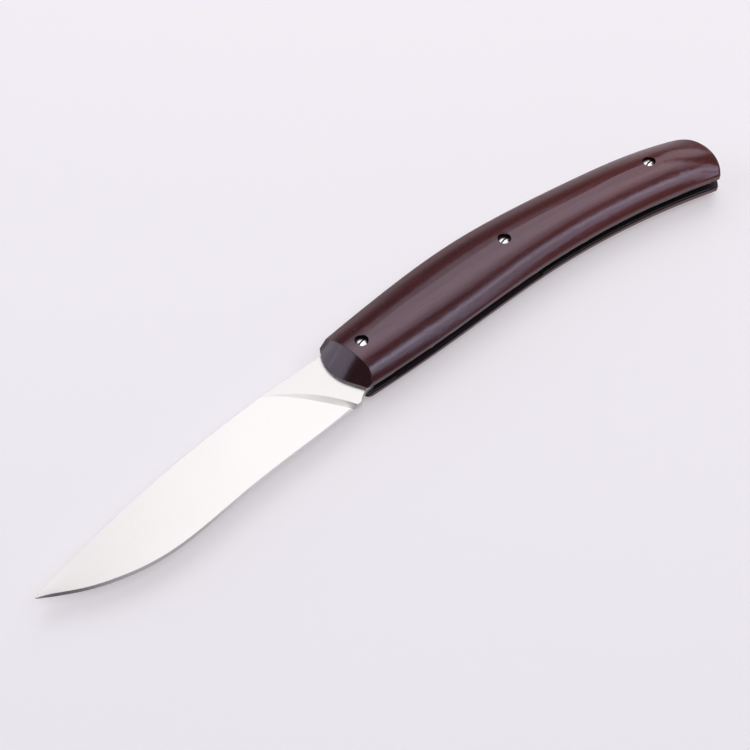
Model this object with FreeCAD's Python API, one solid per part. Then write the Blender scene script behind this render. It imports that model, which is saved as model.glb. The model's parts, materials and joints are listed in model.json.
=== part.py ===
import FreeCAD, Part
import math
import os

V = FreeCAD.Vector
UP = V(0, 0, 1)

# Folding pocket knife with a liner lock, lying open on its right side.
# Millimetres. While the pieces are made, the pivot is the Z axis, the tip points to -X, the back of the
# handle faces +Y and the blade's middle plane is z = 0. The finished set is then moved so that it lies on
# z = 0 with the middle of its box over the origin. Left is the upper side, right is the lower side.

# General
overrun = 2.0
slip_fit = 0.02
contact_gap = 0.01

# Blade
blade_length = 100.2
blade_thickness = 2.0
tip_drop = 8.6
tip_thickness = 0.9
spine_start = 9.3
spine_rise = 5.5
spine_middle_shares = (0.546, 0.245)
belly_depth = 18.0
edge_shares = ((0.20, 0.70), (0.40, 0.80), (0.55, 0.92), (0.69, 1.0), (0.88, 0.815))
heel_setback = 8.8
heel_depth = 11.4
edge_shoulder = 0.46
edge_land = 0.04
bevel_width = 0.8
bevel_most_share = 0.4
grind_shares = ((0.0, 1.3), (0.05, 0.8), (0.12, 0.62), (0.22, 0.6), (0.34, 0.6), (0.47, 0.66), (0.60, 0.76),
                (0.72, 0.86), (0.82, 0.95), (0.90, 1.0), (0.96, 1.0), (1.008, 1.0))
plunge_shares = ((1.12, -1.04, 0.3), (1.84, -0.30, 1.0), (3.15, 0.42, 1.0))
plunge_draft = 2.6
plunge_drop_share = 0.8
fold_deg = 170.0

# Thumb notches on the spine
notch_count = 10
notch_pitch = 1.0
notch_width = 0.75
notch_depth = 0.45

# Tang, inside the handle
tang_radius = 5.1
tang_low_deg = -80.0
horn_rise = 6.6
lock_face_share = 0.765
lock_step_share = 0.12
scoop_start_share = 0.78
scoop_shares = (0.78, 0.865)

# Pivot and washers
pivot_d = 4.0
washer_d = 7.2
washer_thickness = 0.1

# Stop pin
stop_pin_d = 2.0
stop_clearance = 0.2
stop_deg = 66.0

# Liners
liner_thickness = 0.6
liner_inset = 0.25
liner_tail_shares = (0.92, -0.37)
liner_tail_radius = 8.6
relief_radius = 16.0
relief_depth = 1.2
relief_place = 9.0

# Lock bar
bar_root_share = 0.515
bar_inset = 1.9
bar_top = 0.9
bar_slit = 0.3
bar_lift = 0.6
flex_length = 6.0
flex_depth = 0.2
flex_setback = 3.0
ball_d = 0.8
ball_proud = 0.2
ball_setback = 3.6
ball_drop = 3.0

# Wooden scales
scale_thickness = 4.8
handle_length = 121.9
front_radius = 9.8
front_end_deg = 211.0
back_rise = 12.0
belly_drop = 13.4
back_start_shares = (0.0168, 0.579)
back_shares = ((0.224, 0.875), (0.40, 1.0), (0.676, 0.808), (0.935, 0.35), (0.982, 0.10), (0.998, -0.267),
               (0.9945, -0.75))
tail_corner_shares = (0.9735, -0.99)
belly_shares = ((0.802, -0.69), (0.556, -0.545), (0.2445, -0.687))
belly_front_share = -0.731
corner_radius = 0.9
belly_rim = 1.2
back_rim = 2.2
crown_start_share = -0.018
crown_step_share = 0.1477
crown_shares = ((-0.761, 0.50, 1.005), (-0.72, 0.75, 1.005), (-0.668, 0.933, 1.005), (-0.586, 1.0, 1.005),
                (-0.545, 0.921, 1.005), (-0.612, 0.758, 1.005), (-0.80, 0.50, 1.005), (-1.20, 0.042, 0.40))
roundover = 0.8
front_wall = 0.3
facet_shares = ((-0.31, 0.704), (-0.439, 0.082), (-0.252, -0.459))
facet_far_share = 0.6
facet_reach_deg = 14.0
upright_deg = 2.0

# Back spacer and its two pins
spacer_inset = 0.4
spacer_width = 2.4
spacer_shares = (0.31, 0.80)
spacer_pin_d = 1.5
spacer_pin_shares = (0.36, 0.74)

# Screws: pivot, middle and tail, each with a slotted head sunk in the wood
screw_shank_d = 1.8
screw_head_d = 2.7
screw_head_height = 1.0
screw_dome_height = 0.25
screw_slot_width = 0.45
screw_slot_depth = 0.6
screw_slot_deg = 13.0
recess_d = 3.5
recess_depth = 1.7
pivot_thread = 1.4
middle_screw_shares = (0.4766, 0.275)
tail_screw_shares = (0.8605, 0.01)
tail_thread = 0.9
standoff_d = 4.0

# Levels above the blade's middle plane
slot_half = blade_thickness / 2 + washer_thickness
liner_out = slot_half + liner_thickness
crown_top = liner_out + scale_thickness

# Places that follow from the sizes
handle_front = -front_radius
stop_reach = tang_radius + stop_clearance + stop_pin_d / 2
stop_x = stop_reach * math.cos(math.radians(stop_deg))
stop_y = stop_reach * math.sin(math.radians(stop_deg))
screw_places = ((0, 0), *[(handle_front + a * handle_length, b * back_rise)
                          for a, b in (middle_screw_shares, tail_screw_shares)])
bar_front = tang_radius * lock_face_share + contact_gap
bar_root = handle_front + bar_root_share * handle_length


def spline(points):
    curve = Part.BSplineCurve()
    curve.interpolate(points)
    return curve


def line(start, end):
    return Part.LineSegment(start, end).toShape()


def polygon(points):
    return Part.makePolygon([*points, points[0]])


def on_circle(radius, degrees):
    angle = math.radians(degrees)
    return V(radius * math.cos(angle), radius * math.sin(angle), 0)


def turned(point, degrees):
    return FreeCAD.Rotation(UP, degrees).multVec(point)


def rod(diameter, x, y, low, high):
    return Part.makeCylinder(diameter / 2, high - low, V(x, y, low))


def slab(face, low, high):
    moved = face.copy()
    moved.translate(V(0, 0, low))
    return moved.extrude(V(0, 0, high - low))


def other_side(shape):
    """The same shape on the right side of the knife."""
    return shape.mirror(V(0, 0, 0), UP)


def at_x(curve, x):
    """The curve's point at x, found by halving: x runs one way along the blade's curves."""
    low, high = curve.FirstParameter, curve.LastParameter
    rising = curve.value(high).x > curve.value(low).x
    for _ in range(50):
        middle = (low + high) / 2
        if (curve.value(middle).x < x) == rising:
            low = middle
        else:
            high = middle
    return curve.value(low)


def front_points():
    """The rounded front of the handle: an arc about the pivot, then its tangent down to the belly."""
    top = V(handle_front + back_start_shares[0] * handle_length, back_start_shares[1] * back_rise, 0)
    middle = on_circle(front_radius, 180.0)
    low = on_circle(front_radius, front_end_deg)
    along = on_circle(1, front_end_deg + 90.0)
    fall = belly_front_share * belly_drop - low.y
    return top, middle, low, low + along * (fall / along.y)


def handle_points(shares, height):
    return [V(handle_front + a * handle_length, b * height, 0) for a, b in shares]


def inward(curve, point):
    """The way into the wood, square to the curve at one of its points. The outline runs anticlockwise."""
    along = curve.tangent(curve.parameter(point))[0]
    return V(-along.y, along.x, 0)


def drawn_in(point, before, after, inset):
    """The point moved into the wood by inset, measured square to the two curves that meet there."""
    one, two = inward(before, point), inward(after, point)
    return point + (one + two) * (inset / (1 + one.dot(two)))


def handle_face(inset):
    """The handle's outline seen from the side, drawn in from the wood's edge by inset."""
    top, middle, low, belly_front = front_points()
    corner = handle_points([tail_corner_shares], belly_drop)[0]
    belly_points = handle_points(reversed(belly_shares), belly_drop)
    back_points = handle_points(reversed(back_shares), back_rise)
    front = Part.Arc(top, middle, low)
    skirt = Part.LineSegment(low, belly_front)
    belly = spline([belly_front, *belly_points, corner])
    back = spline([corner, *back_points, top])
    top_in = drawn_in(top, back, front, inset)
    low_in = drawn_in(low, front, skirt, inset)
    belly_front_in = drawn_in(belly_front, skirt, belly, inset)
    corner_in = drawn_in(corner, belly, back, inset)
    belly_in = [drawn_in(p, belly, belly, inset) for p in belly_points]
    back_in = [drawn_in(p, back, back, inset) for p in back_points]
    return Part.Face(Part.Wire([
        Part.Arc(top_in, drawn_in(middle, front, front, inset), low_in).toShape(),
        line(low_in, belly_front_in),
        spline([belly_front_in, *belly_in, corner_in]).toShape(),
        spline([corner_in, *back_in, top_in]).toShape(),
    ]))


def crown_section(step, belly, back, crest):
    """A slice through the crown: an arc from the belly's rim over the crest to the back's, run past both."""
    x = handle_front + (crown_start_share + step * crown_step_share) * handle_length
    low = V(x, belly * belly_drop, liner_out + belly_rim)
    high = V(x, back * back_rise, liner_out + back_rim)
    top = V(x, (low.y + high.y) / 2, liner_out + crest * scale_thickness)
    circle = Part.Arc(low, top, high).toShape().Curve

    def on_arc(y):
        return V(x, y, circle.Center.z + math.sqrt(circle.Radius ** 2 - (y - circle.Center.y) ** 2))

    start, end = on_arc(low.y - overrun), on_arc(high.y + overrun)
    foot_start, foot_end = V(x, start.y, -overrun), V(x, end.y, -overrun)
    return Part.Wire([
        Part.Arc(start, top, end).toShape(),
        line(end, foot_end),
        line(foot_end, foot_start),
        line(foot_start, start),
    ])


def crown():
    """The dome of the grip, carried along the arched handle and down to its tail."""
    slices = [crown_section(step, *shares) for step, shares in enumerate(crown_shares)]
    return Part.makeLoft(slices, True, False)


def facet_cutter():
    """What is cut off ahead of the facet, which climbs from the rounded front to a bowed crease."""
    reach = belly_drop + overrun
    ahead = handle_front - overrun
    top, middle, low, belly_front = front_points()
    centre = Part.Arc(top, middle, low).toShape().Curve.Center
    high_end = centre + turned(top - centre, -facet_reach_deg)
    low_far = low + (belly_front - low) * ((-reach - low.y) / (belly_front.y - low.y))
    crease = [V(a * front_radius, b * front_radius, 0) for a, b in facet_shares]
    crease_far = V(facet_far_share * front_radius, -reach, 0)

    def ring(first, second, third, far, level):
        lift = UP * level
        return Part.Wire([
            Part.Arc(first + lift, second + lift, third + lift).toShape(),
            line(third + lift, far + lift),
            line(far + lift, V(ahead, -reach, level)),
            line(V(ahead, -reach, level), V(ahead, first.y, level)),
            line(V(ahead, first.y, level), first + lift),
        ])

    foot = ring(high_end, middle, low, low_far, liner_out + front_wall)
    return Part.makeLoft([foot, ring(*crease, crease_far, crown_top)], True, True)


def is_wall(face, edge):
    """Whether the face stands upright where the edge runs."""
    middle = edge.valueAt((edge.FirstParameter + edge.LastParameter) / 2)
    u, v = face.Surface.parameter(middle)
    return abs(face.normalAt(u, v).z) < math.sin(math.radians(upright_deg))


def rim_edges(shape):
    """The edges where the crown meets the upright walls of the belly, tail and back."""
    found = []
    for edge in shape.Edges:
        box = edge.BoundBox
        faces = shape.ancestorsOfType(edge, Part.Face)
        upright = [is_wall(face, edge) for face in faces]
        raised = box.ZMin > liner_out + front_wall
        if raised and upright.count(True) == 1 and box.XMax > handle_front + front_radius:
            found.append(edge)
    return found


def left_scale():
    """One half of the wooden grip: domed outside, flat inside, with a ground facet at the front."""
    blank = slab(handle_face(0), liner_out, crown_top)
    corner = handle_points([tail_corner_shares], belly_drop)[0]
    upright = [e for e in blank.Edges if e.BoundBox.XLength + e.BoundBox.YLength < contact_gap
               and e.distToShape(Part.Vertex(corner))[0] < overrun]
    blank = blank.makeFillet(corner_radius, upright)
    wood = blank.common(crown()).removeSplitter()
    wood = wood.makeFillet(roundover, rim_edges(wood))
    wood = wood.cut(facet_cutter())
    for x, y in screw_places:
        wood = wood.cut(rod(recess_d, x, y, crown_top - recess_depth, crown_top + overrun))
        wood = wood.cut(rod(screw_shank_d + 2 * slip_fit, x, y, liner_out - overrun, crown_top))
    return wood


def span_at(inset, x):
    """The belly's and the back's y at x, on the outline drawn in by inset."""
    cut = handle_face(inset).common(line(V(x, -2 * belly_drop, 0), V(x, 2 * back_rise, 0)))
    heights = [v.Point.y for v in cut.Vertexes]
    return min(heights), max(heights)


def spacer_places():
    """Where the two spacer pins stand: along the middle line of the spacer."""
    along = [handle_front + share * handle_length for share in spacer_pin_shares]
    return [(x, span_at(spacer_inset + spacer_width / 2, x)[1]) for x in along]


def liner_plate():
    """The steel liner's full plate with the holes that both sides share, on the left side."""
    tail = handle_points([liner_tail_shares], belly_drop)[0]
    reach = handle_length + overrun
    ahead = Part.makeBox(reach + tail.x, 2 * reach, liner_out, V(-reach, -reach, 0))
    round_end = rod(2 * liner_tail_radius, tail.x, tail.y, 0, liner_out)
    plate = slab(handle_face(liner_inset), slot_half, liner_out).common(ahead.fuse(round_end))
    low, high = slot_half - overrun, liner_out + overrun
    plate = plate.cut(rod(pivot_d + 2 * slip_fit, 0, 0, low, high))
    plate = plate.cut(rod(stop_pin_d + 2 * slip_fit, stop_x, stop_y, low, high))
    for x, y in screw_places[1:]:
        plate = plate.cut(rod(screw_shank_d + 2 * slip_fit, x, y, low, high))
    for x, y in spacer_places():
        plate = plate.cut(rod(spacer_pin_d + 2 * slip_fit, x, y, low, high))
    return plate.removeSplitter()


def left_liner():
    """The plain liner, with a shallow scallop in its belly where the thumb reaches in to the lock bar."""
    scallop_y = span_at(liner_inset, relief_place)[0] + relief_depth - relief_radius
    return liner_plate().cut(rod(2 * relief_radius, relief_place, scallop_y, 0, liner_out + overrun))


def bar_region(front, top, root):
    """The part of the right liner's plan that the lock bar, or the window for it, takes up."""
    low = -belly_drop - overrun
    return Part.Face(polygon([V(front, -top, 0), V(root, -top, 0), V(root, low, 0), V(front, low, 0)]))


def right_liner():
    """The other liner, with the window from which the lock bar is cut."""
    window = slab(bar_region(bar_front - bar_slit, bar_top - bar_slit, bar_root), 0, liner_out + overrun)
    return other_side(liner_plate().cut(window))


def bar_swing():
    """The angle by which the lock bar springs in behind the tang."""
    return math.degrees(math.asin(bar_lift / (bar_root - bar_front)))


def sprung(shape):
    """Swings a piece of the lock bar in about its root, on the liner's middle plane."""
    root = V(bar_root, 0, -(slot_half + liner_out) / 2)
    return shape.rotated(root, V(0, 1, 0), bar_swing())


def lock_bar():
    """The spring leaf: its front end stands behind the tang and holds the blade open."""
    plan = handle_face(bar_inset).common(bar_region(bar_front, bar_top, bar_root - slip_fit))
    bar = slab(plan, -liner_out, -slot_half)
    thin = bar_root - flex_setback - flex_length
    groove = Part.makeBox(flex_length, 2 * belly_drop, flex_depth + overrun,
                          V(thin, -belly_drop - overrun, -liner_out - overrun))
    x, y = bar_front + ball_setback, -ball_drop
    bar = bar.cut(groove).cut(rod(ball_d + 2 * slip_fit, x, y, -liner_out - overrun, 0))
    return sprung(bar)


def ball_centre():
    return V(bar_front + ball_setback, -ball_drop, -slot_half + ball_proud - ball_d / 2)


def detent_ball():
    """The ball near the bar's front end, which drops into the tang's dimple when the blade is closed."""
    return sprung(Part.makeSphere(ball_d / 2, ball_centre()))


def blade_curves():
    """The spine arc and the cutting edge, both from the handle to the tip."""
    tip = V(-blade_length, -tip_drop, 0)
    start = V(-spine_start, spine_rise, 0)
    middle = V(-spine_middle_shares[0] * blade_length, spine_middle_shares[1] * spine_rise, 0)
    heel = V(-heel_setback, -heel_depth, 0)
    edge = spline([heel, *[V(-a * blade_length, -b * belly_depth, 0) for a, b in edge_shares], tip])
    return Part.Arc(start, middle, tip), edge


def closed_stop():
    """Where the stop pin stands against the blade when it is closed: its centre and the way it arrives."""
    centre = on_circle(stop_reach, stop_deg - fold_deg)
    arrive = on_circle(1, stop_deg - fold_deg - 90.0)
    return centre, arrive


def blade_face():
    """The blade's outline with its tang, seen from the left side."""
    spine, edge = blade_curves()
    start, heel = spine.StartPoint, edge.StartPoint
    shoulder = stop_x - stop_pin_d / 2 - contact_gap
    horn = V(shoulder, horn_rise, 0)
    horn_foot = V(shoulder, math.sqrt(tang_radius ** 2 - shoulder ** 2), 0)
    step = -tang_radius * lock_step_share
    face_x = tang_radius * lock_face_share
    step_out = V(math.sqrt(tang_radius ** 2 - step ** 2), step, 0)
    step_in = V(face_x, step, 0)
    lock_end = V(face_x, -math.sqrt(tang_radius ** 2 - face_x ** 2), 0)
    pin, arrive = closed_stop()
    contact = pin + arrive * (stop_pin_d / 2 + contact_gap)
    outward = V(pin).normalize()
    across = contact.dot(arrive)
    inner = arrive * across + outward * math.sqrt(tang_radius ** 2 - across ** 2)
    outer = contact + outward * ((-scoop_start_share * heel_depth - contact.y) / outward.y)
    scoop = V(-scoop_shares[0] * heel_setback, -scoop_shares[1] * heel_depth, 0)
    edges = [
        spine.toShape(),
        line(start, horn),
        line(horn, horn_foot),
        Part.Arc(horn_foot, on_circle(tang_radius, stop_deg / 3), step_out).toShape(),
        line(step_out, step_in),
        line(step_in, lock_end),
        Part.Arc(lock_end, on_circle(tang_radius, tang_low_deg), inner).toShape(),
        line(inner, outer),
        Part.Arc(outer, scoop, heel).toShape(),
        edge.toShape(),
    ]
    return Part.Face(Part.Wire(Part.sortEdges(edges)[0]))


def grind_section(share, bevel_share, spine, edge):
    """One section of the ground blade at a share of its edge: flat flanks and a narrow sharp bevel."""
    x = -heel_setback - share * (blade_length - heel_setback)
    back, sharp = at_x(spine, x).y, at_x(edge, x).y
    if share > 1:
        back, sharp = -tip_drop + bevel_width, -tip_drop - bevel_width
    bevel = min(bevel_share * bevel_width, bevel_most_share * (back - sharp))
    thick = blade_thickness - slip_fit - (blade_thickness - tip_thickness) * share ** 2
    rise = (thick - edge_shoulder) / (back - sharp - bevel)
    top = back + bevel_width
    top_half = (thick + rise * bevel_width) / 2
    left = [V(x, top, top_half), V(x, sharp + bevel, edge_shoulder / 2), V(x, sharp, edge_land / 2)]
    right = [V(p.x, p.y, -p.z) for p in reversed(left)]
    return polygon([*left, *right])


def ricasso_keep():
    """The unground root of the blade: all that lies behind the curved plunge line, whose wall slopes."""
    half = blade_thickness / 2
    behind, side = handle_length, 2 * belly_depth

    def wire(lean, level):
        slant = V(-lean, -plunge_drop_share * lean, 0)
        bend = [V(-a * heel_setback, b * heel_depth, level) + slant * c for a, b, c in plunge_shares]
        return Part.Wire([
            Part.Arc(*bend).toShape(),
            line(bend[2], V(bend[2].x, side, level)),
            line(V(bend[2].x, side, level), V(behind, side, level)),
            line(V(behind, side, level), V(behind, -side, level)),
            line(V(behind, -side, level), V(bend[0].x, -side, level)),
            line(V(bend[0].x, -side, level), bend[0]),
        ])

    above = Part.makeLoft([wire(plunge_draft * half, 0), wire(0, half)], True, True)
    return above.fuse(other_side(above))


def blade():
    """Flat-ground drop-point blade with thumb notches, and a tang cut for the stop pin and the lock."""
    spine, edge = blade_curves()
    half = blade_thickness / 2
    plate = slab(blade_face(), -half, half)
    sections = [grind_section(*shares, spine, edge) for shares in grind_shares]
    ground = plate.common(Part.makeLoft(sections, True, False))
    root = plate.common(ricasso_keep())
    steel = ground.fuse(root).removeSplitter()
    for n in range(notch_count):
        top = at_x(spine, -spine_start - (n + 1) * notch_pitch) - UP * blade_thickness
        notch = Part.Face(polygon([
            top - V(0, notch_depth, 0),
            top + V(notch_width, notch_depth, 0),
            top + V(-notch_width, notch_depth, 0),
        ]))
        steel = steel.cut(notch.extrude(UP * (2 * blade_thickness)))
    steel = steel.cut(rod(pivot_d + 2 * slip_fit, 0, 0, -blade_thickness, blade_thickness))
    dimple = turned(ball_centre(), -fold_deg)
    return steel.cut(Part.makeSphere(ball_d / 2 + slip_fit, dimple))


def left_washer():
    ring = rod(washer_d, 0, 0, blade_thickness / 2, slot_half)
    return ring.cut(rod(pivot_d + 2 * slip_fit, 0, 0, 0, slot_half))


def pivot_barrel():
    """The sleeve on which the blade turns, tapped for a screw from each side."""
    barrel = rod(pivot_d, 0, 0, -liner_out, liner_out)
    return barrel.cut(rod(screw_shank_d + 2 * slip_fit, 0, 0, -liner_out, liner_out))


def tail_standoff():
    """The tapped barrel that keeps the liners apart at the tail."""
    barrel = rod(standoff_d, *screw_places[2], -slot_half, slot_half)
    return barrel.cut(rod(screw_shank_d + 2 * slip_fit, *screw_places[2], -slot_half, slot_half))


def stop_pin():
    return rod(stop_pin_d, stop_x, stop_y, -liner_out, liner_out)


def spacer_pin(place):
    return rod(spacer_pin_d, *place, -liner_out, liner_out)


def back_spacer():
    """The strip along the back that keeps the liners apart and lies clear of the closed blade's edge."""
    ring = handle_face(spacer_inset).cut(handle_face(spacer_inset + spacer_width))
    start, end = [handle_front + share * handle_length for share in spacer_shares]
    above = 2 * back_rise
    frame = Part.Face(polygon([V(start, 0, 0), V(end, 0, 0), V(end, above, 0), V(start, above, 0)]))
    strip = slab(ring.common(frame), -slot_half, slot_half)
    for x, y in spacer_places():
        strip = strip.cut(rod(spacer_pin_d + 2 * slip_fit, x, y, -slot_half, slot_half))
    return strip


def left_screw(place, foot):
    """A slotted screw with a low domed head, standing on the floor of its recess in the wood."""
    floor = crown_top - recess_depth
    top = floor + screw_head_height
    dome = (screw_head_d ** 2 / 4 + screw_dome_height ** 2) / (2 * screw_dome_height)
    head = rod(screw_head_d, 0, 0, floor, top).common(Part.makeSphere(dome, V(0, 0, top - dome)))
    screw = head.fuse(rod(screw_shank_d, 0, 0, foot, floor)).removeSplitter()
    slot = Part.makeBox(screw_head_d, screw_slot_width, screw_slot_depth + overrun,
                        V(-screw_head_d / 2, -screw_slot_width / 2, top - screw_slot_depth))
    screw = screw.cut(slot.rotated(V(0, 0, 0), UP, screw_slot_deg))
    return screw.translated(V(*place, 0))


pieces = {
    "blade": blade(),
    "left_scale": left_scale(),
    "left_liner": left_liner(),
    "right_liner": right_liner(),
    "lock_bar": lock_bar(),
    "detent_ball": detent_ball(),
    "left_washer": left_washer(),
    "pivot_barrel": pivot_barrel(),
    "stop_pin": stop_pin(),
    "back_spacer": back_spacer(),
    "tail_standoff": tail_standoff(),
}
pieces["right_scale"] = other_side(pieces["left_scale"])
pieces["right_washer"] = other_side(pieces["left_washer"])
for end, place in zip(("front", "rear"), spacer_places()):
    pieces[end + "_spacer_pin"] = spacer_pin(place)
feet = (liner_out - pivot_thread, slot_half, slot_half - tail_thread)
for name, place, foot in zip(("pivot", "middle", "tail"), screw_places, feet):
    pieces["left_" + name + "_screw"] = left_screw(place, foot)
    pieces["right_" + name + "_screw"] = other_side(pieces["left_" + name + "_screw"])

box = Part.makeCompound(list(pieces.values())).optimalBoundingBox()
seat = V(-box.Center.x, -box.Center.y, -box.ZMin)
os.makedirs("parts", exist_ok=True)
for name, shape in pieces.items():
    seated = shape.translated(seat)
    seated.exportStep("parts/" + name + ".step")
    kind = "" if seated.isValid() and len(seated.Solids) == 1 else " NOT ONE SOUND SOLID"
    print(name, round(seated.Volume, 2), len(seated.Faces), kind)
print("pivot", seat, "lock root", seat + V(bar_root, 0, -(slot_half + liner_out) / 2), "swing", bar_swing())
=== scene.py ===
import json
import math

import bpy
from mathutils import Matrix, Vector

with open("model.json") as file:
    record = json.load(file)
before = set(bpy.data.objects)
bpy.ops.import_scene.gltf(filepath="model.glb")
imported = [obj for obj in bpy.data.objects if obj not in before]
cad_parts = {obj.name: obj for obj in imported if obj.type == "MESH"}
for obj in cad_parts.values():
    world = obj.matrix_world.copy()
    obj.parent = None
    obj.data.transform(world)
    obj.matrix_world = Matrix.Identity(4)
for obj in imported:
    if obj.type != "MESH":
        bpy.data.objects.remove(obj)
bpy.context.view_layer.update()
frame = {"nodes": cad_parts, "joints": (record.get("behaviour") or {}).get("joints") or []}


# Steel liners, lock bar and back spacer
# Thin spring steel, stamped to the handle's outline and dark. The lock bar is cut free in the right liner,
# the spacer keeps the two apart along the back, and the left liner has a painted glint in bright stretches
# along its inner edge and a painted highlight on its front end.
class Tone:
    """One socket of a finish. Sums, differences and products of tones add Math nodes to that finish."""

    def __init__(self, tree, socket=None):
        self.tree = tree
        self.socket = socket

    def node(self, kind, settings, sockets, output=0):
        """A new node of the same finish: its settings first, then the values or links of its sockets."""
        made = self.tree.nodes.new("ShaderNode" + kind)
        for name, value in settings.items():
            if name == "stops":
                ramp = made.color_ramp.elements
                while len(ramp) < len(value):
                    ramp.new(1.0)
                for element, (position, colour) in zip(ramp, value):
                    element.position = position
                    element.color = (*colour, 1.0)
            else:
                setattr(made, name, value)
        for name, value in sockets.items():
            found = [s for s in made.inputs if s.name == name and s.enabled]
            socket = made.inputs[name] if isinstance(name, int) else found[0]
            if isinstance(value, Tone):
                self.tree.links.new(value.socket, socket)
            else:
                socket.default_value = value
        enabled = [s for s in made.outputs if s.enabled]
        return Tone(self.tree, made.outputs[output] if isinstance(output, str) else enabled[output])

    def maths(self, operation, first, second):
        """A Math node of two tones or numbers."""
        return self.node("Math", {"operation": operation}, {0: first, 1: second})

    def __add__(self, other):
        return self.maths("ADD", self, other)

    __radd__ = __add__

    def __mul__(self, other):
        return self.maths("MULTIPLY", self, other)

    __rmul__ = __mul__

    def __sub__(self, other):
        return self.maths("SUBTRACT", self, other)

    def __rsub__(self, other):
        return self.maths("SUBTRACT", other, self)

    def __abs__(self):
        return self.node("Math", {"operation": "ABSOLUTE"}, {0: self})

    def step(self, low, high):
        """0 below low and 1 above high, with a smooth rise between them."""
        return self.node("MapRange", {"interpolation_type": "SMOOTHSTEP"},
                         {"Value": self, "From Min": low, "From Max": high})

    def along(self, axis):
        """The number that a place has along the axis named X, Y or Z."""
        return self.node("SeparateXYZ", {}, {"Vector": self}, output=axis)

    def stretched(self, scale):
        """A place in metres, scaled along each axis."""
        return self.node("VectorMath", {"operation": "MULTIPLY"}, {0: self, 1: scale})

    def noise(self, scale, detail=2.0, roughness=0.5):
        """Cloudy noise between 0 and 1, with cells of 1/scale metres along each axis."""
        return self.node("TexNoise", {}, {"Vector": self.stretched(scale), "Scale": 1.0, "Detail": detail,
                                          "Roughness": roughness})

    def bump(self, strength, depth):
        """A surface normal that follows this tone as a height."""
        return self.node("Bump", {}, {"Strength": strength, "Distance": depth, "Height": self})

    def mixed(self, low, high):
        """The colour low where this tone is 0 and high where it is 1."""
        return self.node("Mix", {"data_type": "RGBA"}, {"Factor": self, "A": low, "B": high})


def finish(name, constants, paint):
    """A Principled finish. Constants go on its sockets; paint(place) gives what changes over the surface."""
    material = bpy.data.materials.new(name)
    material.use_nodes = True
    tree = material.node_tree
    shader = tree.nodes["Principled BSDF"]
    for socket, value in constants.items():
        shader.inputs[socket].default_value = value
    place = Tone(tree).node("TexCoord", {}, {}, output="Object")
    for socket, tone in paint(place).items():
        tree.links.new(tone.socket, shader.inputs[socket])
    return material


nodes = frame["nodes"]


def dress(material, *names):
    """Gives CAD nodes a finish in place of their plain one."""
    for name in names:
        mesh = nodes[name].data
        mesh.materials.clear()
        mesh.materials.append(material)


def lowest(name):
    """The height of a CAD node's lowest point."""
    return min(corner[2] for corner in nodes[name].bound_box)


pivot = Vector(next(joint["pos_m"] for joint in frame["joints"] if joint["name"] == "blade_fold"))
liner_inside = lowest("left_liner")
glint_band = 0.00009
edge_blur = 0.00001
front_highlight_end = -0.0046
front_blur = 0.0004
liner_dark = (0.05, 0.046, 0.047, 1.0)
liner_light = (0.13, 0.12, 0.122, 1.0)
# Painted glint for the left liner's inner edge and painted highlight for its front end.
painted_glint = (0.52, 0.49, 0.50, 1.0)
painted_front_highlight = (0.82, 0.80, 0.81, 1.0)
line_depth = 0.00002


def dark_steel_painted_glints(place):
    """Dark steel with fine lines along X. Bright stretches along the left liner's inner edge are a painted
    glint, and its front end is painted bright as a painted highlight."""
    x, z = (place.along(axis) for axis in "XZ")
    lines = place.noise((400.0, 14000.0, 14000.0), 3.0)
    clouds = place.noise((120.0, 300.0, 300.0))
    dark = (lines * 0.6 + clouds * 0.4).mixed(liner_dark, liner_light)
    height = z - liner_inside
    # Painted glint: bright stretches along the left liner's inner edge.
    inner_edge = height.step(-edge_blur, edge_blur) * (1 - height.step(glint_band * 0.6, glint_band))
    glint_patches = inner_edge * place.noise((220.0, 220.0, 220.0), 3.0).step(0.48, 0.60)
    # Painted highlight on the left liner's front end.
    left_side = height.step(-front_blur / 2, 0.0)
    front = (1 - (x - pivot.x).step(front_highlight_end - front_blur, front_highlight_end)) * left_side
    return {
        "Base Color": front.mixed(glint_patches.mixed(dark, painted_glint), painted_front_highlight),
        "Roughness": 0.34 + lines * 0.14,
        "Normal": lines.bump(0.06, line_depth),
    }


liner_steel = finish("dark_liner_steel", {"Metallic": 1.0}, dark_steel_painted_glints)
dress(liner_steel, "left_liner", "right_liner", "lock_bar", "back_spacer")


# Pivot barrel, stop pin, spacer pins, tail standoff and detent ball
# Turned steel pins with fine rings round them from the lathe, pressed or screwed between the liners. The
# ball is pressed into the lock bar.
ring_dark = (0.46, 0.46, 0.48, 1.0)
ring_light = (0.66, 0.66, 0.68, 1.0)


def lathe_turned(place):
    """Fine rings along Z: noise that changes mostly with height, in colour and roughness."""
    rings = place.noise((900.0, 900.0, 16000.0), 3.0)
    return {
        "Base Color": rings.mixed(ring_dark, ring_light),
        "Roughness": 0.2 + rings * 0.16,
    }


pin_steel = finish("turned_pin_steel", {"Metallic": 1.0}, lathe_turned)
dress(pin_steel, "pivot_barrel", "stop_pin", "front_spacer_pin", "rear_spacer_pin", "tail_standoff",
      "detent_ball")


# Washers
# Thin phosphor-bronze rings on both sides of the tang, punched from sheet and slipped over the pivot
# barrel. They have the cloudy tarnish of bare bronze.
bronze_dull = (0.42, 0.23, 0.09, 1.0)
bronze_bright = (0.70, 0.46, 0.22, 1.0)


def tarnished(place):
    """Soft clouds between bright and dull bronze; the dull places are rougher."""
    clouds = place.noise((700.0, 700.0, 700.0), 4.0, 0.6)
    return {
        "Base Color": clouds.mixed(bronze_dull, bronze_bright),
        "Roughness": 0.45 - clouds * 0.2,
    }


washer_bronze = finish("tarnished_bronze", {"Metallic": 1.0}, tarnished)
dress(washer_bronze, "left_washer", "right_washer")
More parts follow.
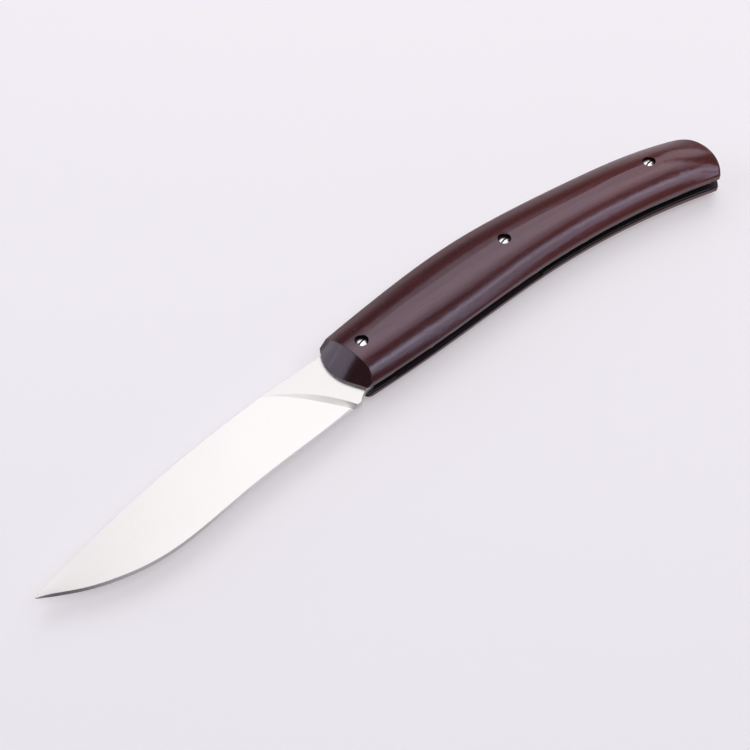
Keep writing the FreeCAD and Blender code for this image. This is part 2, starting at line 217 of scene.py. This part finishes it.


# Blade
# Stainless steel, ground flat from the plunge line to the edge and given a satin finish across the blade.
# The narrow cutting bevel is honed, so it is smoother than the flanks; its darker colour, strongest toward
# the tip, is a painted dark reflection.
edge_shoulder = 0.00023
bevel_fall = 0.056
bevel_blur = 0.0004
hone_start = -0.096
hone_end = -0.038
satin_dark = (0.565, 0.561, 0.536, 1.0)
satin_light = (0.65, 0.646, 0.617, 1.0)
# Bevel colours: painted dark at the tip as a painted dark reflection, near the satin at the root.
painted_dark_bevel_tip = (0.145, 0.145, 0.155, 1.0)
hone_root = (0.54, 0.53, 0.53, 1.0)
satin_depth = 0.00001


def satin_ground(place):
    """Satin lines across the blade. The honed bevel is what lies within edge_shoulder of the middle plane,
    on the edge's side of a line from the root to the tip; it is smoothest at the tip, where its colour is
    painted dark as a painted dark reflection that fades toward the root."""
    x, y, z = (place.along(axis) for axis in "XYZ")
    lines = place.noise((9000.0, 260.0, 260.0), 3.0)
    clouds = place.noise((60.0, 60.0, 60.0))
    satin = (lines * 0.7 + clouds * 0.3).mixed(satin_dark, satin_light)
    thin = 1 - abs(z - pivot.z).step(edge_shoulder * 0.97, edge_shoulder * 1.03)
    below = 1 - (y - x * bevel_fall).step(0.0, bevel_blur)
    honed = thin * below
    rootward = (x - pivot.x).step(hone_start, hone_end)
    # Painted dark reflection on the bevel, darkest at the tip.
    hone = rootward.mixed(painted_dark_bevel_tip, hone_root)
    return {
        "Base Color": honed.mixed(satin, hone),
        "Roughness": 0.36 + lines * 0.06 - honed * (1 - rootward) * 0.14,
        "Normal": lines.bump(0.03, satin_depth),
    }


blade_steel = finish("satin_blade_steel", {"Metallic": 1.0}, satin_ground)
dress(blade_steel, "blade")


# Wooden scales
# Two halves of dark red-brown rosewood, straight grain along the handle, oiled and polished to a gloss.
# The facet at the front is end grain, painted darker partly for the end grain and partly as painted shade,
# with a painted shade line along its crease. The flat inner faces are left unpolished, and they and the
# walls of the screws' recesses are painted dark as painted shade.
scale_inside = lowest("left_scale") - pivot.z
inside_blur = 0.00005
crease_width = 0.00018
crease_blur = 0.00008
back_crease_slope = -0.206
back_crease_start = -0.00422
belly_crease_slope = 0.38
belly_crease_start = -0.00034
grain_bend = 0.006
ripe_start = 0.01
ripe_end = 0.10
recess_half = 0.00176
recess_blur = 0.00004
wood_stops = [
    (0.25, (0.030, 0.0055, 0.0068)),
    (0.50, (0.056, 0.0108, 0.0118)),
    (0.75, (0.095, 0.0205, 0.0175)),
]
# Dark colour for the grain's pores and for the painted shade.
pore_and_shade_black = (0.005, 0.002, 0.002, 1.0)
pore_depth = 0.00003
screw_places = ("pivot", "middle", "tail")
screw_spots = []
for screw_place in screw_places:
    box = [Vector(corner) for corner in nodes["left_" + screw_place + "_screw"].bound_box]
    middle = (box[0] + box[6]) / 2
    screw_spots.append((middle.x, middle.y, 0.0))


def rosewood(place):
    """Straight grain along X, bent a little by slow noise: broad figure, fine streaks and short dark pores,
    lighter and redder toward the tail. In front of the crease, which two lines follow in plan, lies end
    grain, painted darker partly for the end grain and partly as painted shade; a fine dark line along the
    crease itself is painted shade. The flat inner faces and the walls of the screws' recesses are painted
    dark as painted shade."""
    x, y, z = (place.along(axis) for axis in "XYZ")
    slow = place.noise((14.0, 40.0, 40.0), 1.0)
    grain = place.node("CombineXYZ", {}, {"X": x, "Y": y + slow * grain_bend, "Z": z})
    figure = grain.noise((8.0, 260.0, 260.0), 2.0, 0.5)
    streaks = grain.noise((40.0, 2200.0, 2200.0), 3.0, 0.6)
    pores = grain.noise((450.0, 7000.0, 7000.0), 1.0).step(0.62, 0.74)
    ripe = (x - pivot.x).step(ripe_start, ripe_end)
    tone = figure * 0.65 + streaks * 0.35 + ripe * 0.20 - 0.03
    polished_wood = tone.node("ValToRGB", {"stops": wood_stops}, {"Fac": tone})
    back_line = (y - pivot.y) * back_crease_slope + back_crease_start
    belly_line = (y - pivot.y) * belly_crease_slope + belly_crease_start
    ahead = tone.maths("MINIMUM", back_line, belly_line) - (x - pivot.x)
    # End grain in front of the crease, painted darker partly as end grain and partly as painted shade.
    end_grain_and_shade = ahead.step(-crease_blur, crease_blur)
    # Painted shade line along the crease.
    crease = 1 - abs(ahead).step(0.0, crease_width)
    # The flat inner faces, painted dark as painted shade.
    inside = 1 - abs(z - pivot.z).step(scale_inside + inside_blur / 5, scale_inside + inside_blur)
    light = (1 - end_grain_and_shade * 0.68) * (1 - pores * 0.6) * (1 - inside * 0.9) * (1 - crease * 0.8)
    flat = place.stretched((1.0, 1.0, 0.0))
    # Round each screw, the wood in its recess is painted dark as painted shade.
    for spot in screw_spots:
        from_screw = flat.node("VectorMath", {"operation": "DISTANCE"}, {0: flat, 1: spot})
        light = light * (0.25 + from_screw.step(recess_half, recess_half + recess_blur) * 0.75)
    return {
        "Base Color": (1 - light).mixed(polished_wood, pore_and_shade_black),
        "Roughness": 0.13 + streaks * 0.06 + pores * 0.15 + inside * 0.4 + crease * 0.3,
        "Normal": (1 - pores).bump(0.12, pore_depth),
    }


# The Specular Tint colours the wood's reflections lavender: a painted tint of the light they reflect.
scale_wood = finish("polished_rosewood", {"IOR": 1.6, "Specular Tint": (0.96, 0.87, 1.0, 1.0)}, rosewood)
dress(scale_wood, "left_scale", "right_scale")


# Screws
# Slotted steel screws, their low domed heads polished and sunk below the wood in round recesses. They hold
# scales and liners together.
head_rim = 0.00548
rim_blur = 0.00004
head_dull = (0.62, 0.61, 0.60, 1.0)
head_bright = (0.78, 0.77, 0.76, 1.0)
# Painted shade: the slot and everything below the head's rim are painted black.
painted_shade_black = (0.02, 0.018, 0.018, 1.0)


def polished(place):
    """Bright steel with faint clouds of handling wear; below the head's rim, as in the slot, it is painted
    black as painted shade.
    """
    clouds = place.noise((1500.0, 1500.0, 1500.0), 3.0)
    low = 1 - abs(place.along("Z") - pivot.z).step(head_rim - rim_blur, head_rim)
    return {
        "Base Color": low.mixed(clouds.mixed(head_dull, head_bright), painted_shade_black),
        "Roughness": 0.14 + clouds * 0.14 + low * 0.3,
    }


screw_steel = finish("polished_screw_steel", {"Metallic": 1.0}, polished)
for side in ("left_", "right_"):
    dress(screw_steel, *[side + screw_place + "_screw" for screw_place in screw_places])


# Table
# A wide, pale, faintly lavender sheet of studio paper on which the knife lies. To the camera and in
# reflections it glows a little, and far from the knife, where the lamps don't reach, it is all glow, so it
# stays pale to the horizon.
table_half = 8.0
corner_signs = ((-1, -1), (1, -1), (1, 1), (-1, 1))
table_mesh = bpy.data.meshes.new("table")
table_mesh.from_pydata([(i * table_half, j * table_half, 0.0) for i, j in corner_signs], [], [(0, 1, 2, 3)])
table = bpy.data.objects.new("table", table_mesh)
bpy.context.scene.collection.objects.link(table)
# The paper is painted greyer toward the front, as painted shade.
paper_front = (0.80, 0.812, 0.836, 1.0)
paper_back = (0.955, 0.96, 0.968, 1.0)
shade_along = (0.6, 0.8)
shade_reach = 0.2
paper_glow = (0.96, 0.895, 0.935, 1.0)
glow_share = 0.36
lit_reach = 0.35
glow_reach = 1.1


def studio_paper(place):
    """Almost even white, a little greyer toward the front as painted shade, with clouds too faint to see as
    a pattern.
    """
    backward = place.along("X") * shade_along[0] + place.along("Y") * shade_along[1]
    clouds = place.noise((3.0, 3.0, 3.0))
    light = backward.step(-shade_reach, shade_reach) * 0.85 + clouds * 0.15
    return {"Base Color": light.mixed(paper_front, paper_back)}


paper = finish("studio_paper", {"Roughness": 0.9}, studio_paper)
shaded = Tone(paper.node_tree, paper.node_tree.nodes["Principled BSDF"].outputs[0])
direct, mirrored, through = (
    shaded.node("LightPath", {}, {}, output=name)
    for name in ("Is Camera Ray", "Is Glossy Ray", "Is Transmission Ray")
)
paper_place = shaded.node("TexCoord", {}, {}, output="Object")
from_knife = paper_place.node("VectorMath", {"operation": "LENGTH"}, {0: paper_place})
far = from_knife.step(lit_reach, glow_reach)
share = (direct + mirrored + through) * (glow_share + far * (1 - glow_share))
glow = shaded.node("Emission", {}, {"Color": paper_glow})
pale = shaded.node("MixShader", {}, {0: share, 1: shaded, 2: glow})
paper.node_tree.links.new(pale.socket, paper.node_tree.nodes["Material Output"].inputs["Surface"])
table_mesh.materials.append(paper)


# Studio light
# A diffuser level above the knife, brighter toward its core, with parts over the blade and at the back.
# Softboxes stand at the tail, in front and twice at the left, with a cool narrow strip and its skirt in
# front. The room is dim.
def softbox(name, centre, aim, width, height, radiance, colour):
    """A rectangular lamp that faces aim; radiance is how bright its face looks, lit white paper being 1."""
    data = bpy.data.lights.new(name, "AREA")
    data.shape = "RECTANGLE"
    data.size = width
    data.size_y = height
    data.energy = radiance * math.pi * width * height
    data.color = colour
    lamp = bpy.data.objects.new(name, data)
    lamp.location = centre
    lamp.rotation_euler = (Vector(centre) - Vector(aim)).to_track_quat("Z", "Y").to_euler()
    lamp.visible_camera = False
    bpy.context.scene.collection.objects.link(lamp)


diffuser_tint = (0.985, 0.95, 1.0)


def diffuser(name, x, y, z, width, height, radiance):
    """One level sheet of the diffuser. Sheets that overlap hang at different heights, so their light adds
    up."""
    softbox(name, (x, y, z), (x, y, 0.0), width, height, radiance, diffuser_tint)


diffuser("overhead_outer", 0.455, 0.637, 1.18, 1.09, 1.56, 0.60)
diffuser("overhead_wide", 0.43, 0.575, 1.17, 0.94, 1.38, 0.54)
diffuser("overhead_middle", 0.4575, 0.49, 1.16, 0.885, 0.98, 0.57)
diffuser("overhead_core", 0.4875, 0.387, 1.15, 0.865, 0.56, 0.57)
diffuser("overhead_end", 0.0, 0.05, 1.14, 0.24, 0.36, 1.0)
diffuser("overhead_back", 0.175, 1.77, 1.18, 0.55, 0.70, 1.0)

knife = (0.0, 0.0, 0.0)
tail = (0.1, 0.0, 0.0)
side_tint = (0.84, 0.88, 1.0)
strip_tint = (0.80, 0.86, 1.0)
softbox("tail_softbox", (0.96, 0.583, 0.71), tail, 0.50, 0.50, 1.5, (1.0, 0.93, 0.97))
softbox("front_fill", (-0.22, -0.46, 1.10), knife, 0.50, 0.50, 5.6, (1.0, 0.95, 0.96))
softbox("side_softbox", (-0.935, 0.34, 0.67), knife, 0.64, 0.50, 1.85, side_tint)
softbox("corner_softbox", (-0.695, 0.89, 0.41), knife, 0.66, 0.55, 1.80, side_tint)
softbox("front_strip", (0.552, -0.370, 0.91), (0.212, 0.140, 0.0), 0.89, 0.10, 4.0, strip_tint)
softbox("front_skirt", (0.454, -0.557, 0.84), (0.114, 0.063, 0.0), 0.28, 0.20, 2.1, strip_tint)

room_dim = (0.10, 0.095, 0.10, 1.0)
room_pale = (0.8, 0.77, 0.79, 1.0)
front_wall_share = 0.45
wall_rise = (0.1, 0.45)
wall_turn = (0.2, 0.8)
world = bpy.data.worlds.new("room")
world.use_nodes = True
bpy.context.scene.world = world
direction = Tone(world.node_tree).node("TexCoord", {}, {}, output="Generated")
backward = direction.along("Y")
walls = 1 - abs(direction.along("Z")).step(*wall_rise)
back_wall = walls * backward.step(*wall_turn)
front_wall = walls * front_wall_share * (0 - backward).step(*wall_turn)
room = (back_wall + front_wall).mixed(room_dim, room_pale)
world.node_tree.links.new(room.socket, world.node_tree.nodes["Background"].inputs["Color"])


# Camera
# A narrow lens, about 55 degrees above the table, on the side of the cutting edge. It looks at a point
# close to the pivot.
lens_angle = 22.0
camera_from_pivot = Vector((-0.1673, -0.2224, 0.3891))
target_from_pivot = Vector((-0.0010, -0.0067, 0.0))
camera_data = bpy.data.cameras.new("camera")
camera_data.angle = math.radians(lens_angle)
camera = bpy.data.objects.new("camera", camera_data)
camera.location = pivot + camera_from_pivot
target = pivot + target_from_pivot
camera.rotation_euler = (target - camera.location).to_track_quat("-Z", "Y").to_euler()
bpy.context.scene.collection.objects.link(camera)
bpy.context.scene.camera = camera
bpy.context.scene.view_settings.view_transform = "Standard"
